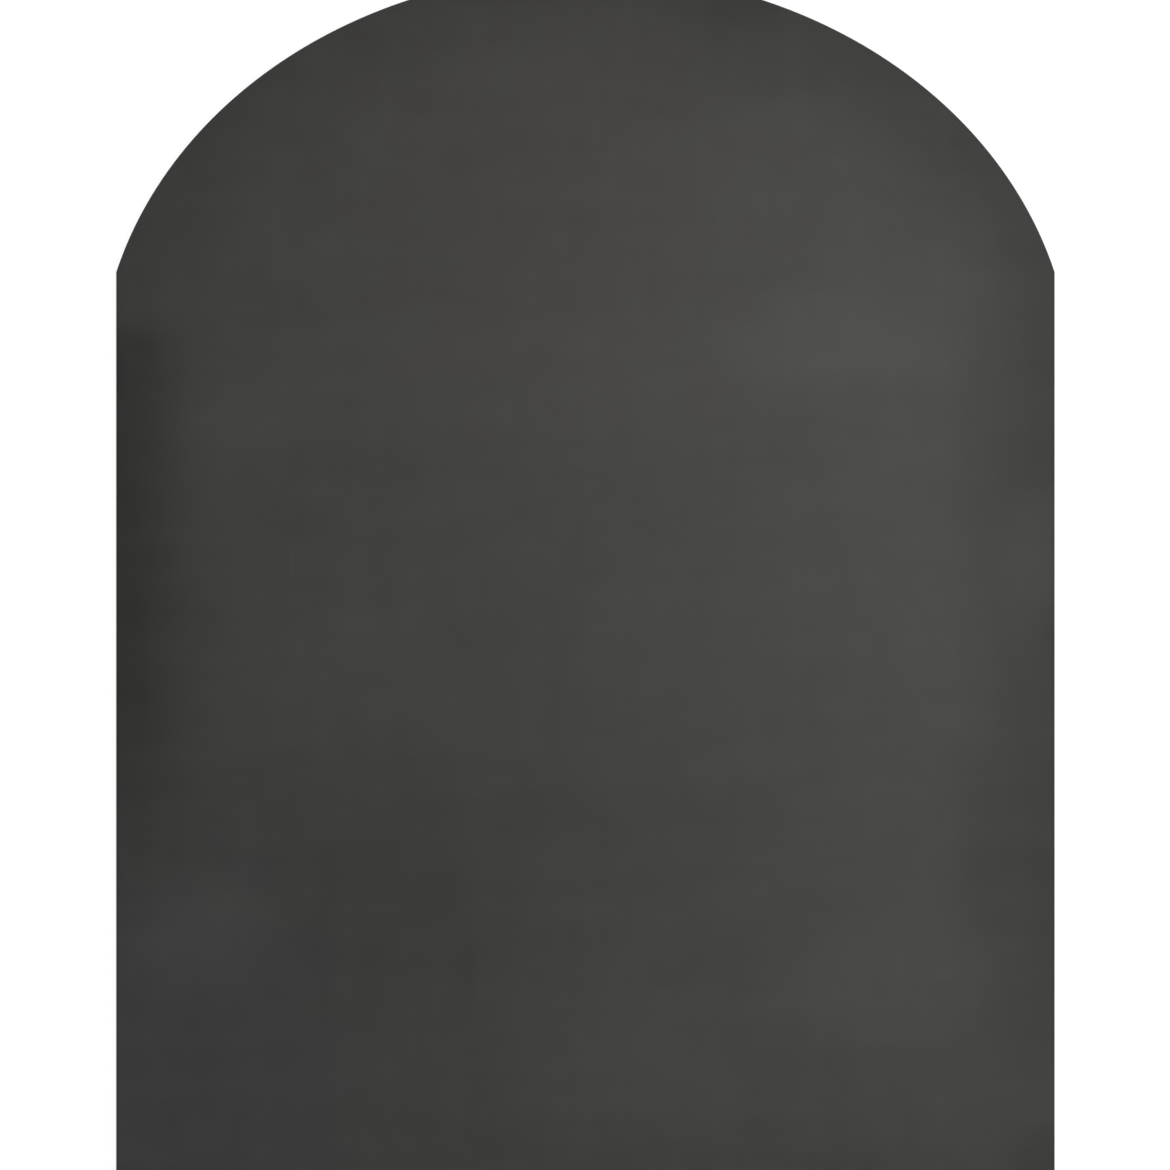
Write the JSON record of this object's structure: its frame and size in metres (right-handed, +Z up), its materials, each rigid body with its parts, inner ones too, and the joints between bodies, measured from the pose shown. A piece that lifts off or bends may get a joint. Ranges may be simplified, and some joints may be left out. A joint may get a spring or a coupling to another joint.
{
  "type": "stove floor plate",
  "caption": "Flat steel floor plate with an arched front that lies under a wood stove, on a ribbed rubber edge strip and round rubber pads.",
  "frame": {"origin": "middle of the plate's overall length and width, on the floor", "axes": "+Z up from the floor; +Y along the plate's length towards the arched front, which faces the room; -Y towards the straight back edge, which goes to the wall; +X across the width, to the right when the arch points away from the viewer"},
  "size_m": [0.85, 1.1, 0.004],
  "materials": {
    "coated_steel": "satin dark grey powder coat with a fine texture, on all sides",
    "strip_rubber": "matt black ribbed sealing rubber",
    "pad_rubber": "matt black moulded rubber"
  },
  "bodies": {
    "root": {"steel_sheet": "coated_steel", "seal_arch": "strip_rubber", "seal_left": "strip_rubber", "seal_right": "strip_rubber", "seal_back": "strip_rubber", "pad_left_1": "pad_rubber", "pad_left_2": "pad_rubber", "pad_left_3": "pad_rubber", "pad_left_4": "pad_rubber", "pad_left_5": "pad_rubber", "pad_centre_1": "pad_rubber", "pad_centre_2": "pad_rubber", "pad_centre_3": "pad_rubber", "pad_centre_4": "pad_rubber", "pad_centre_5": "pad_rubber", "pad_right_1": "pad_rubber", "pad_right_2": "pad_rubber", "pad_right_3": "pad_rubber", "pad_right_4": "pad_rubber", "pad_right_5": "pad_rubber"}
  },
  "joints": []
}
